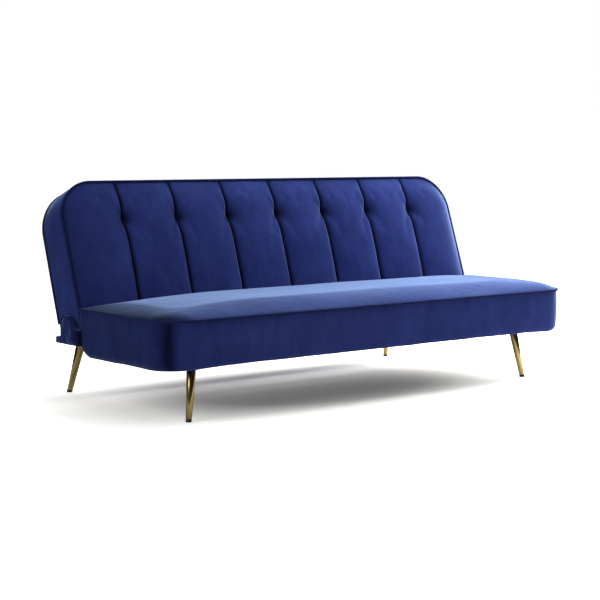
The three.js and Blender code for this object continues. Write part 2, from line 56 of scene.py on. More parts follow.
CAMERA_AT = (-3.342, -4.093, 0.828)
CAMERA_HEADING = math.radians(38.84)
CAMERA_DIP = math.radians(5.63)
CAMERA_LENS = 89.9

WELT_RADIUS = 0.0043
CORD_STEP = 0.008  # between the points of a cord's path

# Seat, from the CAD cover's box
seat_low, seat_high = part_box("seat_cover")
SEAT_HALF = seat_high.x
SEAT_FRONT = seat_low.y
SEAT_REAR = seat_high.y
SEAT_BOTTOM = seat_low.z
SEAT_WELT = sum(corner.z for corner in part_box("seat_welt")) / 2
SEAT_CROWN = seat_high.z - SEAT_WELT + 0.006
CROWN_SHARE = 0.62  # of the crown, which builds up slowly behind the roll
CROWN_FROM_SIDE = 0.460
CROWN_FROM_FRONT = 0.150
CROWN_FROM_REAR = 0.050
FULLNESS_LEFT = 1.8  # how soon the padding reaches its height from each end
FULLNESS_RIGHT = 3.8
ROLL_HEIGHT = 0.0145  # quick rise of the padding beside the cord
ROLL_WIDTH = 0.070
FRONT_CORNER = 0.110
REAR_CORNER = 0.012
REAR_BOW = 0.022  # the seat reaches further back at its ends
REAR_BOW_START = 0.77
REAR_BOW_LENGTH = 0.10
CORD_BOW = 0.007  # and further again at the level of the cord
CORD_BOW_START = 0.85
CORD_BOW_LENGTH = 0.04
SEAT_SAG = 0.004
END_DROOP = 0.006
END_DROOP_START = 0.66
END_DROOP_LENGTH = 0.18
LOWER_REAR_ROUND = 0.028
UNDERSIDE_INSET = 0.010
DUST_COVER_GAP = 0.0017  # the velvet stops above the dust cover inside its turned-under rim
BORDER_SWELL = 0.0035
TURN_UNDER = 0.006
SEAT_END = 0.16  # length at each end of the seat with closer columns

# Back, in its own leaning frame: origin on the hinge, y to its rear, z up its length
recline = next(joint for joint in frame["joints"] if joint["name"] == "back_recline")
HINGE = Vector(recline["pos_m"])
LEAN = math.radians(17.5)
BACK_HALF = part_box("back_cover")[1].x
BACK_TOP = 0.463
BACK_CORNER = 0.130
BACK_REAR = (0.0795, 0.005)  # where the rear cord runs: at the hinge's height, and its slope
BACK_EDGE = (-0.056, 0.030)  # where the front cord runs: at the hinge's height, and its slope
BACK_FOOT = (-0.042, 0.004)  # height of the underside at its front and rear
REAR_ROUNDER = 0.018  # how much more the rear's corners are rounded
REAR_WIDER = 0.005  # how much wider the rear is, as a share
REAR_PANEL_INSET = 0.003
REAR_PANEL_DISH = 0.0038
RIM_SWELL = 0.0045
FACE_EDGE_GAP = 0.001  # between the front cord and the padding's edge
BACK_PROFILE = [  # how far forward the padded face stands, by height
    (-0.042, -0.072),
    (0.020, -0.079),
    (0.110, -0.083),
    (0.200, -0.084),
    (0.300, -0.081),
    (0.390, -0.072),
    (0.463, -0.050),
]
COVER_HEAD = [  # height of a hinge's covering above its foot, along it from the hinge
    (-0.084, 0.050),
    (-0.062, 0.054),
    (-0.044, 0.062),
    (-0.028, 0.079),
    (-0.012, 0.091),
    (0.000, 0.0935),
    (0.012, 0.090),
    (0.021, 0.078),
    (0.027, 0.058),
]
CHANNELS = 8
CHANNEL_WIDTH = 0.217
CHANNEL_DEPTH = 0.018
BUTTON_LEVEL = 0.330
BUTTON_RADIUS = 0.013
BUTTON_FLATNESS = 0.42
BUTTON_PROUD = 0.002
BACK_ROLL = 0.095  # how far in from the edge the padded front rolls over
TUFT_DEPTH = 0.023
TUFT_REACH = 0.026
TUFT_LIMIT = 0.16
BESIDE_SEAM = [0.0022, 0.005, 0.009]  # where the close columns stand


# ------------------------------------------------------------------ small tools


def clamp(value, low=0.0, high=1.0):
    return max(low, min(high, value))


def ease(value):
    value = clamp(value)
    return value * value * (3 - 2 * value)


def deselect():
    for obj in bpy.context.selected_objects:
        obj.select_set(False)


def activate(obj):
    deselect()
    obj.select_set(True)
    bpy.context.view_layer.objects.active = obj


def mesh_object(name, points, faces):
    mesh = bpy.data.meshes.new(name)
    mesh.from_pydata([tuple(point) for point in points], [], faces)
    mesh.validate()
    obj = bpy.data.objects.new(name, mesh)
    bpy.context.collection.objects.link(obj)
    return obj


def shade_smooth(obj, angle=None):
    activate(obj)
    if angle is None:
        bpy.ops.object.shade_smooth()
    else:
        bpy.ops.object.shade_smooth_by_angle(angle=math.radians(angle))


def apply_modifier(obj, kind, **settings):
    modifier = obj.modifiers.new(kind.lower(), kind)
    for key, value in settings.items():
        setattr(modifier, key, value)
    activate(obj)
    bpy.ops.object.modifier_apply(modifier=modifier.name)


def place_in_mesh(obj):
    """Moves the object's place, turn and scale into its mesh."""
    activate(obj)
    bpy.ops.object.transform_apply(location=True, rotation=True, scale=True)


def open_whole(obj):
    """Opens the mesh for editing with all of it selected."""
    activate(obj)
    bpy.ops.object.mode_set(mode="EDIT")
    bpy.ops.mesh.select_mode(type="VERT")
    bpy.ops.mesh.select_all(action="SELECT")


def leave_edit():
    bpy.ops.object.mode_set(mode="OBJECT")


def finish_piece(obj, body, finish, slot, *nodes):
    """Gives a piece its finish and the body it rides on, and hides the CAD nodes it stands for; the slot is not
    used.
    """
    obj.data.materials.clear()
    obj.data.materials.append(finish)
    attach(obj, body)
    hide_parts(*nodes)


# ------------------------------------------------------------------ materials


class Tree:
    """Adds nodes to a tree and links them, left to right."""

    def __init__(self, tree):
        self.tree = tree
        self.tree.nodes.clear()
        self.column = 0

    def add(self, kind, inputs=(), **settings):
        node = self.tree.nodes.new(kind)
        node.location = (self.column * 180, 0)
        self.column += 1
        for key, value in settings.items():
            setattr(node, key, value)
        for key, value in dict(inputs).items():
            self.put(node, key, value)
        return node

    def feed(self, socket, value):
        if isinstance(value, bpy.types.NodeSocket):
            self.tree.links.new(value, socket)
        else:
            socket.default_value = value

    def put(self, node, key, value):
        self.feed(node.inputs[key], value)

    def noise(self, vector, scale, detail=3.0, roughness=0.5, distortion=0.0):
        values = {
            "Vector": vector,
            "Scale": scale,
            "Detail": detail,
            "Roughness": roughness,
            "Distortion": distortion,
        }
        return self.add("ShaderNodeTexNoise", values).outputs["Fac"]

    def math(self, operation, first, second=0.5, clamped=False):
        node = self.add("ShaderNodeMath", {0: first, 1: second}, operation=operation)
        node.use_clamp = clamped
        return node.outputs[0]

    def remap(self, value, low, high, new_low=0.0, new_high=1.0):
        values = {
            "Value": value,
            "From Min": low,
            "From Max": high,
            "To Min": new_low,
            "To Max": new_high,
        }
        return self.add("ShaderNodeMapRange", values, clamp=True).outputs["Result"]

    def mix_colour(self, factor, first, second):
        node = self.add("ShaderNodeMix", data_type="RGBA")
        colours = [socket for socket in node.inputs if socket.type == "RGBA"]
        for socket, value in zip(colours, (first, second)):
            self.feed(socket, value)
        self.put(node, "Factor", factor)
        return next(socket for socket in node.outputs if socket.type == "RGBA")

    def stretched(self, vector, scale, turn=(0.0, 0.0, 0.0)):
        node = self.add("ShaderNodeMapping", {"Vector": vector, "Rotation": turn, "Scale": scale})
        return node.outputs["Vector"]

    def bump(self, strength, distance, height, **under):
        values = {"Strength": strength, "Distance": distance, "Height": height, **under}
        return self.add("ShaderNodeBump", values).outputs["Normal"]


def new_effect(name, inputs):
    """A group that turns coordinates and its own inputs into a colour, a roughness and a normal."""
    group = bpy.data.node_groups.new(name, "ShaderNodeTree")
    tree = Tree(group)
    group.interface.new_socket("Vector", in_out="INPUT", socket_type="NodeSocketVector")
    for label, default in inputs.items():
        kind = "NodeSocketColor" if isinstance(default, tuple) else "NodeSocketFloat"
        socket = group.interface.new_socket(label, in_out="INPUT", socket_type=kind)
        socket.default_value = default
    for label, kind in (("Colour", "Color"), ("Roughness", "Float"), ("Normal", "Vector")):
        group.interface.new_socket(label, in_out="OUTPUT", socket_type="NodeSocket" + kind)
    return group, tree, tree.add("NodeGroupInput").outputs


def close_effect(tree, colour, roughness, normal):
    tree.add("NodeGroupOutput", {"Colour": colour, "Roughness": roughness, "Normal": normal})


# The near-black that painted shade darkens the velvet towards.
PAINTED_SHADE_COLOUR = (0.004, 0.004, 0.016, 1)


def make_pile_group():
    """Velvet pile: brushed nap, hand marks and the fine tips of the pile, darkened by the painted shade a piece
    carries.
    """
    inputs = {"Deep": (0, 0, 0, 1), "Lit": (0, 0, 1, 1), "Painted shade": 0.0, "Marks": 0.5, "Bump": 0.3}
    group, tree, start = new_effect("velvet pile", inputs)
    vector = start["Vector"]
    cloud = tree.noise(vector, 5.5, 4.0, 0.55, 0.6)
    brushed = tree.noise(tree.stretched(vector, (26.0, 26.0, 7.0)), 1.0, 5.0, 0.6, 0.8)
    tips = tree.noise(vector, 900.0, 2.0, 0.6)
    rows = tree.noise(tree.stretched(vector, (420.0, 420.0, 120.0)), 1.0, 2.0, 0.5)
    marks = tree.math("ADD", tree.math("MULTIPLY", cloud, 0.55), tree.math("MULTIPLY", brushed, 0.45))
    marks = tree.remap(marks, 0.36, 0.64)
    marks = tree.math("MULTIPLY", marks, start["Marks"])
    speckle = tree.math("MULTIPLY", tree.remap(tips, 0.35, 0.65), 0.22)
    shade = tree.math("ADD", marks, speckle, clamped=True)
    brushed_colour = tree.mix_colour(shade, start["Deep"], start["Lit"])
    # Painted shade: the colour goes towards near-black by the painted shade each point carries.
    colour = tree.mix_colour(start["Painted shade"], brushed_colour, PAINTED_SHADE_COLOUR)
    roughness = tree.remap(marks, 0.0, 1.0, 0.92, 0.72)
    height = tree.math("ADD", tree.math("MULTIPLY", tips, 0.5), tree.math("MULTIPLY", rows, 0.5))
    fine = tree.bump(start["Bump"], 0.0006, height)
    broad = tree.bump(0.35, 0.004, brushed, Normal=fine)
    close_effect(tree, colour, roughness, broad)
    return group


def make_grain_group():
    """Timber grain along an axis, with pores and saw marks."""
    inputs = {"Early": (1, 1, 1, 1), "Late": (0.5, 0.4, 0.3, 1), "Bump": 0.3}
    group, tree, start = new_effect("timber grain", inputs)
    vector = start["Vector"]
    rings = tree.noise(tree.stretched(vector, (2.0, 26.0, 26.0)), 1.0, 6.0, 0.62, 1.2)
    pores = tree.noise(tree.stretched(vector, (60.0, 900.0, 900.0)), 1.0, 2.0, 0.5)
    streak = tree.remap(rings, 0.35, 0.66)
    colour = tree.mix_colour(streak, start["Early"], start["Late"])
    dark = tree.mix_colour(tree.remap(pores, 0.55, 0.75), colour, start["Late"])
    roughness = tree.remap(pores, 0.3, 0.7, 0.6, 0.8)
    height = tree.math("ADD", tree.math("MULTIPLY", rings, 0.4), tree.math("MULTIPLY", pores, 0.6))
    close_effect(tree, dark, roughness, tree.bump(start["Bump"], 0.0008, height))
    return group


def make_wear_group():
    """Handling wear on hard finishes: smears, fine scratches and dust."""
    colours = {"Clean": (1, 1, 1, 1), "Dull": (0.5, 0.5, 0.5, 1)}
    inputs = {**colours, "Smooth": 0.15, "Worn": 0.4, "Bump": 0.1}
    group, tree, start = new_effect("handling wear", inputs)
    vector = start["Vector"]
    smear = tree.noise(vector, 22.0, 5.0, 0.6, 0.8)
    scratch = tree.noise(tree.stretched(vector, (900.0, 900.0, 60.0)), 1.0, 3.0, 0.6)
    mask = tree.remap(smear, 0.45, 0.75)
    colour = tree.mix_colour(tree.math("MULTIPLY", mask, 0.5), start["Clean"], start["Dull"])
    range_of_wear = tree.math("SUBTRACT", start["Worn"], start["Smooth"])
    rise = tree.math("MULTIPLY", range_of_wear, tree.math("MULTIPLY", mask, scratch))
    roughness = tree.math("ADD", start["Smooth"], rise)
    close_effect(tree, colour, roughness, tree.bump(start["Bump"], 0.0002, scratch))
    return group


PILE = make_pile_group()
GRAIN = make_grain_group()
WEAR = make_wear_group()


def material(name, group, group_inputs, **shader_inputs):
    """A Principled finish whose colour, roughness and normal come from an effect group."""
    made = bpy.data.materials.new(name)
    made.use_nodes = True
    tree = Tree(made.node_tree)
    coordinates = tree.add("ShaderNodeTexCoord").outputs["Object"]
    effect = tree.add("ShaderNodeGroup", node_tree=group)
    tree.put(effect, "Vector", coordinates)
    for key, value in group_inputs.items():
        tree.put(effect, key, value)
    # Pieces carry their painted shade as a point attribute, read here into the effect group.
    if "Painted shade" in effect.inputs:
        own = tree.add("ShaderNodeAttribute", attribute_name="painted_shade")
        tree.put(effect, "Painted shade", own.outputs["Fac"])
    shader = tree.add("ShaderNodeBsdfPrincipled")
    tree.put(shader, "Base Color", effect.outputs["Colour"])
    tree.put(shader, "Roughness", effect.outputs["Roughness"])
    tree.put(shader, "Normal", effect.outputs["Normal"])
    for key, value in shader_inputs.items():
        tree.put(shader, key.replace("_", " "), value)
    end = tree.add("ShaderNodeOutputMaterial")
    tree.put(end, "Surface", shader.outputs["BSDF"])
    return made


def cloth_finish(name, deep, lit, tint, sheen, marks=0.42):
    """Piled cloth: its colour in shade and in light, and the tint and strength of its sheen."""
    return material(
        name,
        PILE,
        {"Deep": (*deep, 1), "Lit": (*lit, 1), "Marks": marks, "Bump": 0.35},
        Specular_IOR_Level=0.0,
        Sheen_Weight=sheen,
        Sheen_Roughness=0.30,
        Sheen_Tint=(*tint, 1),
    )


def hard_finish(name, clean, dull, smooth, worn, bump, metallic=0.0):
    """A finish that shows handling: its colour and roughness where clean and where worn."""
    inputs = {"Clean": (*clean, 1), "Dull": (*dull, 1), "Smooth": smooth, "Worn": worn, "Bump": bump}
    return material(name, WEAR, inputs, Metallic=metallic)


def timber_finish(name, early, late, bump):
    return material(name, GRAIN, {"Early": (*early, 1), "Late": (*late, 1), "Bump": bump})


VELVET = cloth_finish(
    "royal blue velvet", (0.014, 0.022, 0.105), (0.036, 0.054, 0.235), (0.43, 0.61, 1.0), 0.92
)
VELVET_CORD = cloth_finish(
    "velvet on the cord", (0.008, 0.011, 0.050), (0.018, 0.026, 0.110), (0.40, 0.60, 1.0), 0.25
)
NON_WOVEN = cloth_finish(
    "black non-woven cloth", (0.006, 0.006, 0.007), (0.02, 0.02, 0.022), (0.4, 0.4, 0.4), 0.15, 0.4
)
BRASS = hard_finish(
    "polished brass plate", (0.34, 0.26, 0.106), (0.23, 0.165, 0.064), 0.16, 0.42, 0.05, metallic=1.0
)
ZINC = hard_finish(
    "zinc-plated steel", (0.42, 0.43, 0.45), (0.22, 0.22, 0.23), 0.32, 0.6, 0.12, metallic=1.0
)
SPRING_WIRE = hard_finish(
    "drawn spring wire", (0.50, 0.51, 0.53), (0.20, 0.19, 0.18), 0.28, 0.55, 0.1, metallic=1.0
)
BLACK_PLASTIC = hard_finish(
    "black moulded plastic", (0.012, 0.012, 0.013), (0.05, 0.05, 0.048), 0.42, 0.75, 0.15
)
FOAM = hard_finish("upholstery foam", (0.80, 0.74, 0.50), (0.66, 0.58, 0.36), 0.9, 1.0, 0.6)
SOFTWOOD = timber_finish("sawn softwood", (0.60, 0.42, 0.23), (0.36, 0.21, 0.10), 0.35)
HARDBOARD = timber_finish("pressed board", (0.26, 0.15, 0.075), (0.17, 0.09, 0.045), 0.15)

SLOT_MATERIALS = {
    "velvet": VELVET,
    "welting": VELVET_CORD,
    "brass": BRASS,
    "steel": ZINC,
    "spring_steel": SPRING_WIRE,
    "black_plastic": BLACK_PLASTIC,
    "timber": SOFTWOOD,
    "hardboard": HARDBOARD,
    "foam": FOAM,
    "non_woven": NON_WOVEN,
}
NODE_SLOTS = {part["node"]: part["material_slot"] for part in frame["record"]["subparts"]}
for node_name, node in frame["nodes"].items():
    node.data.materials.clear()
    node.data.materials.append(SLOT_MATERIALS[NODE_SLOTS[node_name]])

# ------------------------------------------------------------------ camera, floor and light

FLOOR_SIZE = 60.0
FLOOR_LEVEL = -0.0005
# Painted light on the floor: a glow seen only by the camera, lightening the cast shadow near the piece and turning
# to white further out.
FLOOR_GLOW_SHAPE = (0.92, 1.45, 1.0)
FLOOR_PAINTED_GLOW = (0.45, 1.35, 0.12, 1.0)  # distances where it starts and ends, and its glow at each

def make_camera():
    data = bpy.data.cameras.new("camera")
    data.lens = CAMERA_LENS
    data.sensor_width = 36.0
    camera = bpy.data.objects.new("camera", data)
    bpy.context.collection.objects.link(camera)
    camera.location = CAMERA_AT
    camera.rotation_euler = (math.pi / 2 - CAMERA_DIP, 0.0, -CAMERA_HEADING)
    bpy.context.scene.camera = camera


def make_floor():
    """A pale floor with painted light: a glow only the camera sees, faint near the piece, where it lightens the
    cast shadow, and rising to white away from it.
    """
    deselect()
    bpy.ops.mesh.primitive_plane_add(size=FLOOR_SIZE, location=(0.0, 0.0, FLOOR_LEVEL))
    floor = bpy.context.active_object
    floor.name = "floor"
    paint = bpy.data.materials.new("pale floor")
    paint.use_nodes = True
    tree = Tree(paint.node_tree)
    shader = tree.add("ShaderNodeBsdfPrincipled")
    shader.inputs["Base Color"].default_value = (0.95, 0.935, 0.875, 1)
    shader.inputs["Roughness"].default_value = 0.9
    shader.inputs["Specular IOR Level"].default_value = 0.0
    shader.inputs["Emission Color"].default_value = (1, 1, 1, 1)
    place = tree.stretched(tree.add("ShaderNodeTexCoord").outputs["Object"], FLOOR_GLOW_SHAPE)
    away = tree.add("ShaderNodeVectorMath", {0: place}, operation="LENGTH").outputs["Value"]
    painted_glow = tree.remap(away, *FLOOR_PAINTED_GLOW)
    seen = tree.add("ShaderNodeLightPath").outputs["Is Camera Ray"]
    # Painted light: the floor glows for the camera only.
    tree.put(shader, "Emission Strength", tree.math("MULTIPLY", painted_glow, seen))
    end = tree.add("ShaderNodeOutputMaterial")
    tree.put(end, "Surface", shader.outputs["BSDF"])
    floor.data.materials.append(paint)


def area_light(name, at, towards, size, power, fan=180.0):
    data = bpy.data.lights.new(name, "AREA")
    data.shape = "RECTANGLE"
    data.size, data.size_y = size
    data.energy = power
    data.spread = math.radians(fan)
    light = bpy.data.objects.new(name, data)
    bpy.context.collection.objects.link(light)
    light.location = at
    light.rotation_euler = (Vector(towards) - Vector(at)).to_track_quat("-Z", "Y").to_euler()


def make_world(glows):
    """Studio walls. Each glow is a direction, how narrow it is and how bright.
    The backdrop itself stays plain white."""
    world = bpy.data.worlds.new("studio")
    bpy.context.scene.world = world
    world.use_nodes = True
    tree = Tree(world.node_tree)
    direction = tree.add("ShaderNodeTexCoord").outputs["Generated"]
    total = 0.0
    for towards, narrow, strength in glows:
        facing = tree.add(
            "ShaderNodeVectorMath",
            {0: direction, 1: tuple(Vector(towards).normalized())},
            operation="DOT_PRODUCT",
        ).outputs["Value"]
        lobe = tree.math("POWER", tree.remap(facing, -0.3, 1.0), narrow)
        total = tree.math("ADD", tree.math("MULTIPLY", lobe, strength), total)
    lighting = tree.add("ShaderNodeBackground", {"Color": (1, 1, 1, 1), "Strength": total})
    seen = tree.add("ShaderNodeBackground", {"Color": (1, 1, 1, 1), "Strength": 1.0})
    choice = tree.add("ShaderNodeMixShader")
    tree.put(choice, 0, tree.add("ShaderNodeLightPath").outputs["Is Camera Ray"])
    tree.put(choice, 1, lighting.outputs[0])
    tree.put(choice, 2, seen.outputs[0])
    end = tree.add("ShaderNodeOutputWorld")
    tree.put(end, "Surface", choice.outputs[0])


SOFTBOXES = [  # name, place, aim, size, power and, where narrowed, the angle of its fan
    ("overhead softbox", (1.2, 0.0, 3.1), (1.55, 0.0, 0.0), (3.2, 2.6), 66.0, 100.0),
    ("front softbox", (0.0, -2.2, 2.6), (0.0, 0.0, 0.3), (3.6, 1.6), 24.0),
    ("right softbox", (2.8, 0.1, 1.3), (0.4, 0.0, 0.4), (1.6, 1.4), 95.0),
    ("near right softbox", (2.0, 0.5, 0.9), (0.5, 0.0, 0.35), (1.2, 0.7), 34.0),
    ("left softbox", (-3.4, -0.6, 1.6), (-0.3, 0.0, 0.4), (1.6, 2.0), 44.0),
]
GLOWS = [((0.6, 0.65, 0.35), 2.0, 0.20), ((-0.7, -0.7, 0.3), 2.0, 0.05)]
bpy.context.scene.view_settings.view_transform = "Standard"
make_camera()
make_floor()
for softbox in SOFTBOXES:
    area_light(*softbox)
make_world(GLOWS)

# ------------------------------------------------------------------ padded work


def boxed_panel(name, columns, rows, rings, place):
    """A closed padded form: a face grid, a band of rings round it, and a grid behind.
    place(column, row, depth) gives each point; depth runs from 0 on the face to 1 behind."""
    wide, tall = len(columns), len(rows)
    points = [place(u, v, 0.0) for v in rows for u in columns]
    edge = [(i, 0) for i in range(wide)]
    edge += [(wide - 1, j) for j in range(1, tall)]
    edge += [(i, tall - 1) for i in range(wide - 2, -1, -1)]
    edge += [(0, j) for j in range(tall - 2, 0, -1)]
    loops = [[j * wide + i for i, j in edge]]
    for depth in rings:
        loops.append(list(range(len(points), len(points) + len(edge))))
        points += [place(columns[i], rows[j], depth) for i, j in edge]
    behind = {}
    for j, v in enumerate(rows):
        for i, u in enumerate(columns):
            behind[i, j] = len(points)
            points.append(place(u, v, 1.0))
    loops.append([behind[i, j] for i, j in edge])
    faces = []
    for j in range(tall - 1):
        for i in range(wide - 1):
            a, b = j * wide + i, j * wide + i + 1
            faces.append((a, b, b + wide, a + wide))
            faces.append((behind[i, j], behind[i, j + 1], behind[i + 1, j + 1], behind[i + 1, j]))
    for near, far in zip(loops, loops[1:]):
        for k in range(len(edge)):
            n = (k + 1) % len(edge)
            faces.append((near[n], near[k], far[k], far[n]))
    return mesh_object(name, points, faces)


def puff(obj, held, pressure, cap):
    """Swells the padding by cloth pressure. Held points stay, and none goes further than cap."""
    before = [vertex.co.copy() for vertex in obj.data.vertices]
    group = obj.vertex_groups.new(name="sewn down")
    group.add([i for i, point in enumerate(before) if held(point)], 1.0, "REPLACE")
    cloth = obj.modifiers.new("cloth", "CLOTH")
    settings = cloth.settings
    settings.vertex_group_mass = group.name
    settings.quality = 6
    settings.mass = 0.25
    settings.tension_stiffness = 14.0
    settings.compression_stiffness = 14.0
    settings.shear_stiffness = 6.0
    settings.bending_stiffness = 0.6
    settings.use_pressure = True
    settings.uniform_pressure_force = pressure
    settings.effector_weights.gravity = 0.0
    cloth.collision_settings.use_collision = False
    scene = bpy.context.scene
    for step in range(1, 21):
        scene.frame_set(step)
    shaped = obj.evaluated_get(bpy.context.evaluated_depsgraph_get())
    after = [vertex.co.copy() for vertex in shaped.data.vertices]
    obj.modifiers.remove(cloth)
    scene.frame_set(1)
    for vertex, start, end in zip(obj.data.vertices, before, after):
        move = end - start
        if move.length > cap:
            move *= cap / move.length
        vertex.co = start + move
    obj.vertex_groups.remove(group)


def spread(low, high, count, crowd=0.0):
    """Even steps from low to high, crowded towards both ends by a share."""
    steps = []
    for index in range(count + 1):
        even = index / count
        curved = 0.5 - 0.5 * math.cos(math.pi * even)
        share = even + (curved - even) * crowd
        steps.append(low + (high - low) * share)
    return steps


def interpolate(table, at):
    """Smooth value of a table of (place, value), by Catmull-Rom."""
    places = [row[0] for row in table]
    values = [row[1] for row in table]
    at = clamp(at, places[0], places[-1])
    k = max(i for i in range(len(places) - 1) if places[i] <= at)
    span = places[k + 1] - places[k]
    t = (at - places[k]) / span

    def slope(i):
        low, high = max(i - 1, 0), min(i + 1, len(places) - 1)
        return (values[high] - values[low]) / (places[high] - places[low])

    a, b = values[k], values[k + 1]
    ma, mb = slope(k) * span, slope(k + 1) * span
    return (
        (2 * t**3 - 3 * t**2 + 1) * a
        + (t**3 - 2 * t**2 + t) * ma
        + (-2 * t**3 + 3 * t**2) * b
        + (t**3 - t**2) * mb
    )


def paint_shade(obj, painted_shade):
    """Writes each point's painted shade, from 0 to 1, before the piece is smoothed."""
    layer = obj.data.attributes.new("painted_shade", "FLOAT", "POINT")
    for vertex, value in zip(obj.data.vertices, layer.data):
        value.value = clamp(painted_shade(vertex.co))


def bump_at(distance, width):
    """A soft peak: 1 at no distance, fading out over a width."""
    return math.exp(-((distance / width) ** 2))


# ------------------------------------------------------------------ seat


def seat_edge_y(x):
    """Front and rear of the seat's plan at a distance along it."""
    reach = min(abs(x), SEAT_HALF)
    into_front = clamp((reach - (SEAT_HALF - FRONT_CORNER)) / FRONT_CORNER)
    into_rear = clamp((reach - (SEAT_HALF - REAR_CORNER)) / REAR_CORNER)
    front = SEAT_FRONT + FRONT_CORNER * (1 - math.sqrt(1 - into_front**2))
    rear = SEAT_REAR - REAR_CORNER * (1 - math.sqrt(1 - into_rear**2))
    return front, rear


def seat_floor(x, y):
    """Height of the seat's underside, which rounds up at the rear and hangs a little at its ends."""
    along = clamp((y - (SEAT_REAR - LOWER_REAR_ROUND)) / LOWER_REAR_ROUND)
    droop = SEAT_SAG + END_DROOP * ease((abs(x) - END_DROOP_START) / END_DROOP_LENGTH)
    droop += 0.0016 * noise.noise(Vector((x * 9.0, y * 11.0, 4.4)))
    return SEAT_BOTTOM + LOWER_REAR_ROUND * (1 - math.sqrt(1 - along**2)) - droop * (1 - along)


def seat_edge_distance(x, y):
    """How far inside the seat's outline a point is."""
    corner = FRONT_CORNER if y < (SEAT_FRONT + SEAT_REAR) / 2 else REAR_CORNER
    from_side = SEAT_HALF - abs(x)
    from_end = min(y - SEAT_FRONT, SEAT_REAR - y)
    if from_side < corner and from_end < corner:
        return max(corner - math.hypot(corner - from_side, corner - from_end), 0.0)
    return max(min(from_side, from_end), 0.0)


def seat_crown(x, y):
    """Height of the padded top over the cord."""
    side = 1 - clamp((SEAT_HALF - abs(x)) / CROWN_FROM_SIDE)
    front = 1 - clamp((y - SEAT_FRONT) / CROWN_FROM_FRONT)
    rear = 1 - clamp((SEAT_REAR - y) / CROWN_FROM_REAR)
    near_cord = 1 - clamp(seat_edge_distance(x, y) / ROLL_WIDTH)
    fullness = FULLNESS_LEFT if x < 0 else FULLNESS_RIGHT
    height = SEAT_CROWN * (1 - side**fullness) * (1 - front**2.4) * (1 - rear**3)
    roll = ROLL_HEIGHT * (1 - near_cord**2)
    uneven = noise.noise(Vector((x * 4.0, y * 5.0, 3.1))) * 0.0020
    return height * CROWN_SHARE + roll + uneven * (1 - near_cord)


def bow_rear(point):
    """Carries the rear of the seat further back at its two ends, most of all at the cord."""
    along = clamp((point.y - SEAT_FRONT) / (SEAT_REAR - SEAT_FRONT)) ** 4
    point.y += REAR_BOW * ease((abs(point.x) - REAR_BOW_START) / REAR_BOW_LENGTH) * along
    at_cord = ease((point.z - HINGE.z) / (SEAT_WELT - HINGE.z))
    at_end = ease((abs(point.x) - CORD_BOW_START) / CORD_BOW_LENGTH)
    point.y += CORD_BOW * at_end * along * at_cord
    return point


def seat_outline_normal(x, y):
    """Level direction out of the seat at a point on its outline."""
    corner = FRONT_CORNER if y < (SEAT_FRONT + SEAT_REAR) / 2 else REAR_CORNER
    side = 1 if x > 0 else -1
    end = -1 if y < (SEAT_FRONT + SEAT_REAR) / 2 else 1
    edge = SEAT_FRONT if end < 0 else SEAT_REAR
    over_x = max(abs(x) - (SEAT_HALF - corner), 0.0) * side
    over_y = max(corner - abs(y - edge), 0.0) * end
    if abs(over_x) < 1e-9 and abs(over_y) < 1e-9:
        over_x = side
    return Vector((over_x, over_y, 0.0)).normalized()


def seat_point(x, v, depth):
    """A point of the seat: its padded top at depth 0, its border, and its underside at depth 1."""
    front, rear = seat_edge_y(x)
    y = front + (rear - front) * v
    if depth == 0.0:
        return bow_rear(Vector((x, y, SEAT_WELT + seat_crown(x, y))))
    floor = seat_floor(x, y)
    if depth == 1.0:
        shrink_x = (SEAT_HALF - UNDERSIDE_INSET) / SEAT_HALF
        middle = (SEAT_FRONT + SEAT_REAR) / 2
        shrink_y = (SEAT_REAR - SEAT_FRONT - 2 * UNDERSIDE_INSET) / (SEAT_REAR - SEAT_FRONT)
        inside = ease((seat_edge_distance(x, y) - 0.030) / 0.012)
        level = floor + max(SEAT_BOTTOM + DUST_COVER_GAP - floor, 0.0) * inside
        return bow_rear(Vector((x * shrink_x, middle + (y - middle) * shrink_y, level)))
    normal = seat_outline_normal(x, y)
    z = SEAT_WELT + (floor + 0.004 - SEAT_WELT) * depth
    along = x * normal.y - y * normal.x
    rise = math.sin(math.pi * clamp(depth))
    swell = BORDER_SWELL * rise
    pucker = 0.0012 * noise.noise(Vector((along * 16.0, z * 9.0, 1.7)))
    broad = 0.0016 * noise.noise(Vector((along * 4.0, z * 4.0, 8.2)))
    turn_under = TURN_UNDER * ease((depth - 0.9) / 0.1)
    out = swell + (pucker + broad) * rise - turn_under
    return bow_rear(Vector((x, y, z)) + normal * out)


def seat_painted_shade(point):
    """Painted shade, from 0 to 1: a dark band down the border's front corners, darker end faces and a light wash
    over the border; on the top, darker towards the ends (the left far more than the right) and beside the cord.
    """
    over_x = max(abs(point.x) - (SEAT_HALF - FRONT_CORNER), 0.0)
    over_y = max(SEAT_FRONT + FRONT_CORNER - point.y, 0.0)
    on_corner = over_x > 0 and over_y > 0
    turn = math.degrees(math.atan2(over_y, over_x)) if on_corner else 0.0
    # Painted shade on the border: the dark band where each front corner turns, and darker end faces.
    if point.z < SEAT_WELT - 0.004:
        corner = 0.85 * bump_at(turn - 44, 12) if on_corner else 0.0
        end = 0.40 * ease((abs(point.x) - SEAT_HALF + 0.03) / 0.02)
        return corner + end + 0.08
    # Painted shade on the top: darker towards each end, the left end most, and beside the cord.
    end = 0.90 * bump_at(SEAT_HALF - abs(point.x), 0.11) * (1.0 if point.x < 0 else 0.3)
    beside_cord = 0.5 * bump_at(seat_edge_distance(point.x, point.y), 0.012)
    return end + beside_cord


def seat_held(point):
    """The border, the cord's seam and the underside are pulled tight over the frame."""
    return point.z <= SEAT_WELT + 0.004


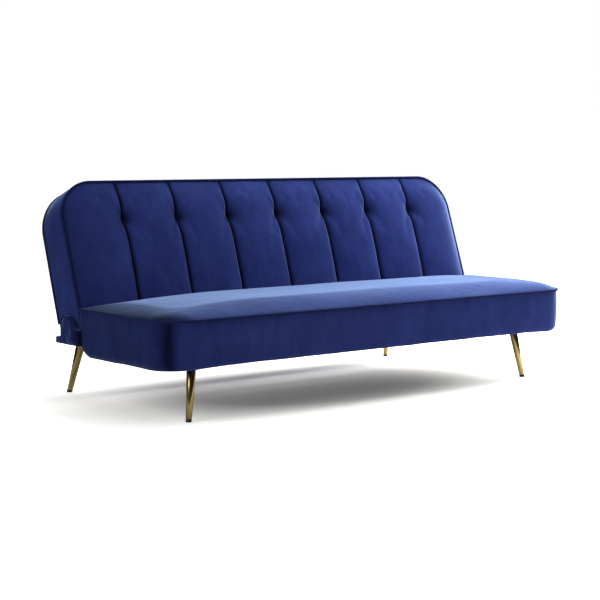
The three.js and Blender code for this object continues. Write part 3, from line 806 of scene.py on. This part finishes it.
def make_seat():
    middle = spread(-SEAT_HALF + SEAT_END, SEAT_HALF - SEAT_END, 150)
    shares = [math.sin(math.pi / 2 * step / 22) for step in range(1, 23)]
    ends = [SEAT_HALF - SEAT_END * (1 - share) for share in shares]
    columns = [-x for x in reversed(ends)] + middle + ends
    rows = spread(0.0, 1.0, 46, 0.55)
    rings = [0.03, 0.08, 0.16, 0.26, 0.36, 0.46, 0.56, 0.66, 0.76, 0.85, 0.92, 0.96, 0.99]
    seat = boxed_panel("seat_upholstery", columns, rows, rings, seat_point)
    # The seat's painted shade goes on before the padding is swelled.
    paint_shade(seat, seat_painted_shade)
    puff(seat, seat_held, 3.0, 0.006)
    apply_modifier(seat, "SUBSURF", levels=1, render_levels=1)
    shade_smooth(seat)
    finish_piece(seat, "seat_base", VELVET, "velvet", "seat_cover", "seat_foam")


# ------------------------------------------------------------------ back


def from_back(x, y, z):
    """A point of the leaning back's own frame, placed in the room."""
    sine, cosine = math.sin(LEAN), math.cos(LEAN)
    return Vector((x, HINGE.y + y * cosine + z * sine, HINGE.z - y * sine + z * cosine))


def to_back(point):
    """The y and z of a point in the leaning back's own frame."""
    sine, cosine = math.sin(LEAN), math.cos(LEAN)
    dy, dz = point.y - HINGE.y, point.z - HINGE.z
    return dy * cosine - dz * sine, dy * sine + dz * cosine


def back_front(z):
    return interpolate(BACK_PROFILE, z)


def back_edge_top(x, depth=0.0):
    """Height of the back's outline, whose corners grow rounder from front to rear."""
    corner = BACK_CORNER + REAR_ROUNDER * depth
    reach = clamp((abs(x) - (BACK_HALF - corner)) / corner)
    return BACK_TOP - corner * (1 - math.sqrt(1 - reach**2))


def back_edge_distance(x, z):
    from_side = BACK_HALF - abs(x)
    from_top = BACK_TOP - z
    if from_side < BACK_CORNER and from_top < BACK_CORNER:
        gap = math.hypot(BACK_CORNER - from_side, BACK_CORNER - from_top)
        return max(BACK_CORNER - gap, 0.0)
    return max(min(from_side, from_top), 0.0)


SEAMS = [(index - CHANNELS / 2) * CHANNEL_WIDTH for index in range(1, CHANNELS)]


def from_seam(x):
    return min(abs(x - seam) for seam in SEAMS)


def channel_hollow(x):
    """How far the sewn face lies behind its crest: 1 on a seam, 0 along a crest."""
    nearest = from_seam(x)
    across = clamp(nearest / (CHANNEL_WIDTH * 0.5))
    soft = (1 - across) ** 3.4
    return 0.42 * soft + 0.60 * bump_at(nearest, 0.0058) + 0.15 * math.exp(-nearest / 0.02)


def tuft_hollow(x, z):
    """The dimple and the folds that each button draws in the face."""
    total = 0.0
    for seam in SEAMS:
        dx, dz = x - seam, z - BUTTON_LEVEL
        apart = math.hypot(dx, dz)
        if apart > TUFT_LIMIT:
            continue
        dimple = math.exp(-((apart / TUFT_REACH) ** 1.4)) * TUFT_DEPTH
        angle = math.atan2(dz, dx)
        fold = max(math.cos(2 * angle - 0.15 * math.copysign(1, dx)), 0.0) ** 2
        diagonal = abs(math.sin(2 * angle)) ** 6
        reach = ease((apart - 0.014) / 0.02) * math.exp(-((apart / 0.055) ** 2))
        total += dimple + (0.0042 * diagonal - 0.0012 * fold) * reach
    return total


def back_edge(z):
    """How far forward the back's front edge stands at a height."""
    return BACK_EDGE[0] + BACK_EDGE[1] * z


def back_rear(z):
    return BACK_REAR[0] + BACK_REAR[1] * z


def rear_panel(x, z):
    """The panel behind lies a little inside its cord, clear of the rest rail when the back is down."""
    return back_rear(z) - REAR_PANEL_DISH * ease(back_edge_distance(x, z) / 0.030)


def back_face_y(x, z):
    """How far forward the sewn and padded face stands."""
    edge = back_edge_distance(x, z)
    border = 1 - ease(edge / 0.060)
    hollow = CHANNEL_DEPTH * channel_hollow(x) * (1 - 0.55 * border)
    roll = (1 - clamp(edge / BACK_ROLL)) ** 2.4
    crest = back_front(z)
    rolled = (back_edge(z) + FACE_EDGE_GAP - crest) * roll
    uneven = 0.0016 * noise.noise(Vector((x * 7.0, z * 6.0, 5.3)))
    return crest + rolled + hollow * (1 - roll) + tuft_hollow(x, z) + uneven * (1 - border)


def back_point(u, v, depth):
    """A point of the back: its face at depth 0, the rim round it, and the panel behind at depth 1."""
    x = u
    top = back_edge_top(x, depth)
    foot_front, foot_rear = BACK_FOOT
    if depth == 0.0:
        z = foot_front + (top - foot_front) * v
        return from_back(x, back_face_y(x, z), z)
    foot = foot_front + (foot_rear - foot_front) * depth
    z = foot + (top - foot) * v
    front = back_edge(foot_front + (top - foot_front) * v) + FACE_EDGE_GAP
    if depth == 1.0:
        x *= (1 + REAR_WIDER) * (BACK_HALF - REAR_PANEL_INSET) / BACK_HALF
        shrink = 1 - REAR_PANEL_INSET / 0.46
        z = foot_rear + (min(z, top - REAR_PANEL_INSET) - foot_rear) * shrink
        return from_back(x, rear_panel(x, z), z)
    y = front + (rear_panel(x, z) - front) * depth
    x *= 1 + REAR_WIDER * depth
    rise = math.sin(math.pi * depth)
    swell = RIM_SWELL * rise + 0.0014 * rise * noise.noise(Vector((x * 9, y * 14, z * 9)))
    out_x = out_z = 0.0
    if v > 0.999:
        reach = clamp((abs(x) - (BACK_HALF - BACK_CORNER)) / BACK_CORNER)
        out_x = math.copysign(reach, x)
        out_z = math.sqrt(max(1 - reach**2, 0.0))
    elif abs(u) > BACK_HALF - 1e-6:
        out_x = math.copysign(1, x)
    return from_back(x + out_x * swell, y, z + out_z * swell)


def back_painted_shade(point):
    """Painted shade along the sewn seams, round the buttons, beside the cord, towards the ends and low down by the
    seat, with a light wash over the rear panel.
    """
    y, z = to_back(point)
    from_edge = back_edge_distance(point.x, z)
    # Painted shade over the rear panel, deeper near its edge.
    if y > back_rear(z) - 0.006:
        return 0.12 + 0.35 * bump_at(from_edge, 0.012)
    past_cord = y - back_edge(z)
    # Painted shade on the rim, beside both cords.
    if past_cord > 0.002:
        return 0.35 * bump_at(y - back_rear(z), 0.006) + 0.5 * bump_at(past_cord, 0.008)
    # Painted shade in the seams and round the buttons, beside the cord, low down by the seat and towards the ends.
    nearest = from_seam(point.x)
    seam = 0.98 * bump_at(nearest, 0.0070)
    button = 0.98 * bump_at(math.hypot(nearest, z - BUTTON_LEVEL), 0.026)
    beside_cord = 0.6 * bump_at(from_edge, 0.005)
    low = 0.35 * bump_at(z - BACK_FOOT[0], 0.06)
    from_end = BACK_HALF - abs(point.x)
    end = 0.14 * bump_at(from_end, 0.12) + 0.30 * bump_at(from_end, 0.030)
    return max(seam, button) + beside_cord + low + end


def channel_columns():
    """Columns across the back, with close ones on both sides of each seam."""
    columns = []
    stops = [-BACK_HALF] + SEAMS + [BACK_HALF]
    shares = [math.sin(math.pi / 2 * k / 30) for k in range(1, 30)]
    for index, (low, high) in enumerate(zip(stops, stops[1:])):
        inner = [low + step for step in BESIDE_SEAM] if index else []
        outer = [high - step for step in reversed(BESIDE_SEAM)] if index < CHANNELS - 1 else []
        start = inner[-1] if inner else low
        end = outer[0] if outer else high
        if index == 0:
            body = [end - (end - start) * share for share in reversed(shares)]
        elif index == CHANNELS - 1:
            body = [start + (end - start) * share for share in shares]
        else:
            body = spread(start, end, 24)[1:-1]
        columns += [low] + inner + body + outer
    return columns + [BACK_HALF]


def back_held(point):
    """All but the face between its seams and buttons is pulled tight over the frame."""
    y, z = to_back(point)
    nearest = from_seam(point.x)
    on_button = math.hypot(nearest, z - BUTTON_LEVEL) < 0.016
    on_face = y < back_front(z) + 0.045 and z > BACK_FOOT[0] + 0.004
    inside = back_edge_distance(point.x, z) > 0.008
    return not (on_face and inside) or nearest < 0.0015 or on_button


def make_back():
    rows = spread(0.0, 1.0, 66, 0.25)
    rings = [0.02, 0.08, 0.18, 0.31, 0.44, 0.57, 0.70, 0.82, 0.92, 0.98, 0.996]
    back = boxed_panel("back_upholstery", channel_columns(), rows, rings, back_point)
    # The back's painted shade goes on before the padding is swelled.
    paint_shade(back, back_painted_shade)
    puff(back, back_held, 3.0, 0.005)
    apply_modifier(back, "SUBSURF", levels=1, render_levels=1)
    shade_smooth(back)
    nodes = ("back_cover", "back_foam", "back_lining")
    finish_piece(back, "backrest", VELVET, "velvet", *nodes)


# ------------------------------------------------------------------ corded seams


def cord(name, points, radius, closed, body, node):
    """A covered cord along a path, with the slight lumps of hand-fed piping."""
    data = bpy.data.curves.new(name, "CURVE")
    data.dimensions = "3D"
    data.bevel_depth = radius
    data.bevel_resolution = 4
    data.use_fill_caps = not closed
    spline = data.splines.new("POLY")
    spline.points.add(len(points) - 1)
    for index, (place, point) in enumerate(zip(points, spline.points)):
        point.co = (*place, 1.0)
        point.radius = 1.0 + 0.06 * noise.noise(Vector((index * 0.35, radius * 900, 0.0)))
    spline.use_cyclic_u = closed
    obj = bpy.data.objects.new(name, data)
    bpy.context.collection.objects.link(obj)
    activate(obj)
    bpy.ops.object.convert(target="MESH")
    obj = bpy.context.active_object
    shade_smooth(obj)
    finish_piece(obj, body, VELVET_CORD, "welting", node)


def fill_steps(points):
    """The same path with its points no further apart than a cord's step."""
    filled = [points[0]]
    for low, high in zip(points, points[1:]):
        parts = max(1, round((high - low).length / CORD_STEP))
        filled += [low.lerp(high, k / parts) for k in range(1, parts + 1)]
    return filled


def seat_outline(outset):
    """Points round the seat's plan, moved outwards."""
    half, front, rear = SEAT_HALF, SEAT_FRONT, SEAT_REAR
    corners = [
        (half - FRONT_CORNER, front + FRONT_CORNER, FRONT_CORNER, -90),
        (half - REAR_CORNER, rear - REAR_CORNER, REAR_CORNER, 0),
        (-half + REAR_CORNER, rear - REAR_CORNER, REAR_CORNER, 90),
        (-half + FRONT_CORNER, front + FRONT_CORNER, FRONT_CORNER, 180),
    ]
    arcs = []
    for x, y, radius, start in corners:
        reach = radius + outset
        for k in range(15):
            angle = math.radians(start + 90 * k / 14)
            arcs.append(Vector((x + reach * math.cos(angle), y + reach * math.sin(angle), 0.0)))
    return fill_steps(arcs + [arcs[0]])[:-1]


def back_outline(inset, foot, corner=BACK_CORNER):
    """Points up one side of the back, over its top and down the other, moved inwards."""
    half, top, radius = BACK_HALF - inset, BACK_TOP - inset, corner - inset
    points = [Vector((-half, 0.0, foot))]
    for k in range(19):
        angle = math.pi - math.pi / 2 * k / 18
        x = -half + radius + radius * math.cos(angle)
        points.append(Vector((x, 0.0, top - radius + radius * math.sin(angle))))
    mirrored = [Vector((-point.x, 0.0, point.z)) for point in reversed(points)]
    return fill_steps(points + mirrored)


def make_cords():
    seat_path = []
    for point in seat_outline(0.0025):
        wander = 0.0012 * noise.noise(Vector((point.x * 9, point.y * 9, 2.0)))
        seat_path.append(bow_rear(Vector((point.x, point.y, SEAT_WELT + wander))))
    cord("seat_cord", seat_path, WELT_RADIUS, True, "seat_base", "seat_welt")
    front = [
        from_back(point.x, back_edge(point.z), point.z)
        for point in back_outline(-0.0015, BACK_FOOT[0] + 0.004)
    ]
    cord("back_cord_front", front, WELT_RADIUS, False, "backrest", "back_welt_front")
    rear = [
        from_back(point.x * (1 + REAR_WIDER), back_rear(point.z), point.z)
        for point in back_outline(-0.001, BACK_FOOT[1] + 0.010, BACK_CORNER + REAR_ROUNDER)
    ]
    cord("back_cord_rear", rear, WELT_RADIUS * 0.9, False, "backrest", "back_welt_rear")


# ------------------------------------------------------------------ buttons


def make_buttons():
    """Covered buttons, drawn into their tufts."""
    for index, seam in enumerate(SEAMS, start=1):
        deselect()
        bpy.ops.mesh.primitive_uv_sphere_add(segments=32, ring_count=16, radius=BUTTON_RADIUS)
        button = bpy.context.active_object
        button.name = f"covered_button_{index}"
        button.scale = (1.0, BUTTON_FLATNESS, 1.0)
        depth = back_face_y(seam, BUTTON_LEVEL)
        button.location = from_back(seam, depth - BUTTON_PROUD, BUTTON_LEVEL)
        button.rotation_euler = (-LEAN, 0.0, 0.0)
        place_in_mesh(button)
        shade_smooth(button)
        finish_piece(button, "backrest", VELVET_CORD, "velvet", f"button_{index}")


# ------------------------------------------------------------------ legs and other hard parts


def dressed_copy(node, name, finish, slot, bevel):
    """The CAD node's shape as a new piece, joined up, with softened edges."""
    obj = bpy.data.objects.new(name, frame["nodes"][node].data.copy())
    bpy.context.collection.objects.link(obj)
    open_whole(obj)
    bpy.ops.mesh.remove_doubles(threshold=0.00001)
    bpy.ops.mesh.dissolve_limited(angle_limit=math.radians(0.5))
    leave_edit()
    sharp = math.radians(35)
    apply_modifier(obj, "BEVEL", width=bevel, segments=2, limit_method="ANGLE", angle_limit=sharp)
    shade_smooth(obj, 30)
    finish_piece(obj, "seat_base", finish, slot, node)


def make_legs():
    for end in ("front", "rear"):
        for side in SIDES:
            tail = f"{end}_{side}"
            dressed_copy(f"leg_{tail}", f"brass_leg_{tail}", BRASS, "brass", 0.0005)
            foot, plate = f"foot_cap_{tail}", f"leg_plate_{tail}"
            dressed_copy(foot, f"black_foot_{tail}", BLACK_PLASTIC, "black_plastic", 0.0008)
            dressed_copy(plate, f"screwed_plate_{tail}", ZINC, "steel", 0.0006)


def make_rest_rail():
    """The padded rail behind, wrapped in velvet."""
    low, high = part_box("rear_rest_rail")
    deselect()
    bpy.ops.mesh.primitive_cube_add(size=1.0, location=(Vector(low) + Vector(high)) / 2)
    rail = bpy.context.active_object
    rail.name = "wrapped_rest_rail"
    rail.scale = Vector(high) - Vector(low)
    place_in_mesh(rail)
    sharp = math.radians(50)
    apply_modifier(rail, "BEVEL", width=0.006, segments=4, limit_method="ANGLE", angle_limit=sharp)
    shade_smooth(rail, 40)
    finish_piece(rail, "seat_base", VELVET, "velvet", "rear_rest_rail")


def make_hinge_cover(side, sign):
    """Velvet gathered over a hinge: a rounded head, a low skirt forward to the seat, soft folds."""
    node = f"hinge_cover_{side}"
    low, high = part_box(node)
    inner, outer = (low.x, high.x) if sign > 0 else (high.x, low.x)

    def place(u, v, depth):
        y = low.y + (high.y - low.y) * u
        z = low.z + interpolate(COVER_HEAD, y - HINGE.y) * v
        across, up = min(u, 1 - u) * 1.4, min(v, 1 - v)
        edge = 1 / (1 / (across + 0.01) + 1 / (up + 0.01))
        pillow = 0.011 * (1 - clamp(edge * 5.0)) ** 2
        gather = math.sin(y * 105.0 + z * 40.0) + 0.5 * math.sin(y * 190.0 - z * 50.0 + 1.3)
        fold = 0.0030 * (1 - 0.4 * v) * gather * clamp(edge * 5)
        x = outer + (inner - outer) * depth
        if depth == 0.0:
            x -= sign * (pillow - fold)
        return Vector((x, y, z))

    along = spread(0.0, 1.0, 34, 0.7)
    up = spread(0.0, 1.0, 24, 0.7)
    cover = boxed_panel(f"wrapped_hinge_cover_{side}", along, up, [0.06, 0.3, 0.6, 0.9], place)
    open_whole(cover)
    bpy.ops.mesh.normals_make_consistent(inside=False)
    leave_edit()
    # Painted shade over the whole covering, deeper at its front end by the seat.
    paint_shade(cover, lambda point: 0.35 + 0.5 * bump_at(point.y - low.y, 0.03))
    apply_modifier(cover, "SUBSURF", levels=1, render_levels=1)
    shade_smooth(cover)
    finish_piece(cover, "seat_base", VELVET, "velvet", node)


make_seat()
make_back()
make_cords()
make_buttons()
make_legs()
for side, sign in SIDES.items():
    make_hinge_cover(side, sign)
make_rest_rail()
